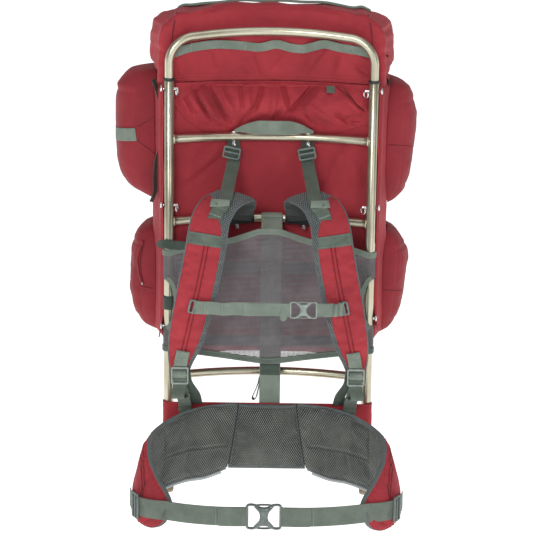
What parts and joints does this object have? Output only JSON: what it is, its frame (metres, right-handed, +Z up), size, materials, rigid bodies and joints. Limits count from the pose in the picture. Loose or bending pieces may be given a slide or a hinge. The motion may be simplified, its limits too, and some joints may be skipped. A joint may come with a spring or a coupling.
{
  "type": "external frame backpack",
  "caption": "Tall backpack on an external aluminium tube frame, with side pockets, lid, back mesh, padded shoulder straps and hip belt.",
  "frame": {"origin": "centre of the lumbar pad's face, where the pack rests against the wearer's back", "axes": "+Z up along the side tubes, +X to the right for someone who looks at the back panel, +Y away from the wearer towards the bag"},
  "size_m": [0.5821, 0.4884, 0.955],
  "materials": {
    "frame_tube": "satin champagne anodised tube",
    "pin_steel": "bright",
    "black_plastic": "matte",
    "foot_rubber": "matte tan plug",
    "pack_cloth": "coated nylon pack cloth",
    "spacer_mesh": "thick knitted spacer mesh",
    "back_mesh": "open nylon mesh with cloth edge tape",
    "buckle_plastic": "moulded, satin",
    "dark_webbing": "woven webbing",
    "webbing": "woven webbing"
  },
  "bodies": {
    "root": {"anchor_webbing_left": "webbing", "anchor_webbing_right": "webbing", "back_band": "pack_cloth", "bar_loop_middle": "webbing", "centre_strap": "webbing", "collar_left": "black_plastic", "collar_right": "black_plastic", "crest_tape": "webbing", "cross_bar_lower": "frame_tube", "cross_bar_middle": "frame_tube", "cross_bar_upper": "frame_tube", "daisy_chain": "webbing", "edge_strip_left": "pack_cloth", "edge_strip_right": "pack_cloth", "foot_plug_left": "foot_rubber", "foot_plug_right": "foot_rubber", "hanging_loop": "dark_webbing", "haul_handle": "dark_webbing", "hip_buckle_socket": "buckle_plastic", "hip_buckle_tongue": "buckle_plastic", "hip_webbing_left": "webbing", "hip_webbing_right": "webbing", "hip_wing_left": "pack_cloth", "hip_wing_right": "pack_cloth", "lid": "pack_cloth", "lid_flap": "pack_cloth", "lifter_buckle_left": "buckle_plastic", "lifter_buckle_right": "buckle_plastic", "lifter_webbing_left": "webbing", "lifter_webbing_right": "webbing", "lumbar_pad": "spacer_mesh", "main_bag": "pack_cloth", "mesh_panel": "back_mesh", "pin_low_left": "pin_steel", "pin_low_right": "pin_steel", "pin_mid_left": "pin_steel", "pin_mid_right": "pin_steel", "pin_top_left": "pin_steel", "pin_top_right": "pin_steel", "pocket_lower_left": "pack_cloth", "pocket_lower_right": "pack_cloth", "pocket_upper_left": "pack_cloth", "pocket_upper_right": "pack_cloth", "shoulder_strap_left": "pack_cloth", "shoulder_strap_right": "pack_cloth", "side_buckle_left": "buckle_plastic", "side_buckle_right": "buckle_plastic", "side_tube_left": "frame_tube", "side_tube_right": "frame_tube", "sternum_buckle_socket": "buckle_plastic", "sternum_buckle_tongue": "buckle_plastic", "sternum_slider_left": "buckle_plastic", "sternum_slider_right": "buckle_plastic", "sternum_webbing_left": "webbing", "sternum_webbing_right": "webbing", "strap_buckle_left": "buckle_plastic", "strap_buckle_right": "buckle_plastic", "tension_tail_left": "dark_webbing", "top_bar": "frame_tube"}
  },
  "joints": []
}
